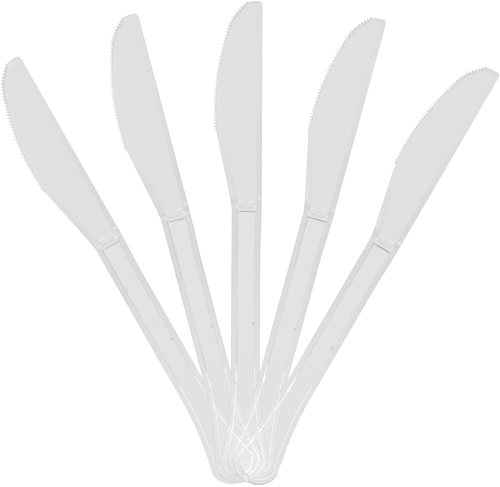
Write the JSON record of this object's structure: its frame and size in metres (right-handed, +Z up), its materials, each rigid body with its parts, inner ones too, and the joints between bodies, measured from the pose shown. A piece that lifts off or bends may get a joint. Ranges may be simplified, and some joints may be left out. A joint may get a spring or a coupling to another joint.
{
  "type": "plastic cutlery pack",
  "caption": "Fan of clear moulded plastic table knives with serrated blades and rimmed flat handles, stacked at their handle ends.",
  "frame": {"origin": "middle of the fan's plan, on the surface that it rests on", "axes": "+Y from the handle ends towards the middle knife's tip, +X towards the right-hand knives and their spines, +Z up"},
  "size_m": [0.197, 0.1908, 0.0188],
  "materials": {
    "clear_polystyrene": "clear, glossy, injection moulded"
  },
  "bodies": {
    "root": {"knife_far_left": "clear_polystyrene", "knife_left": "clear_polystyrene", "knife_middle": "clear_polystyrene", "knife_right": "clear_polystyrene", "knife_far_right": "clear_polystyrene"}
  },
  "joints": []
}
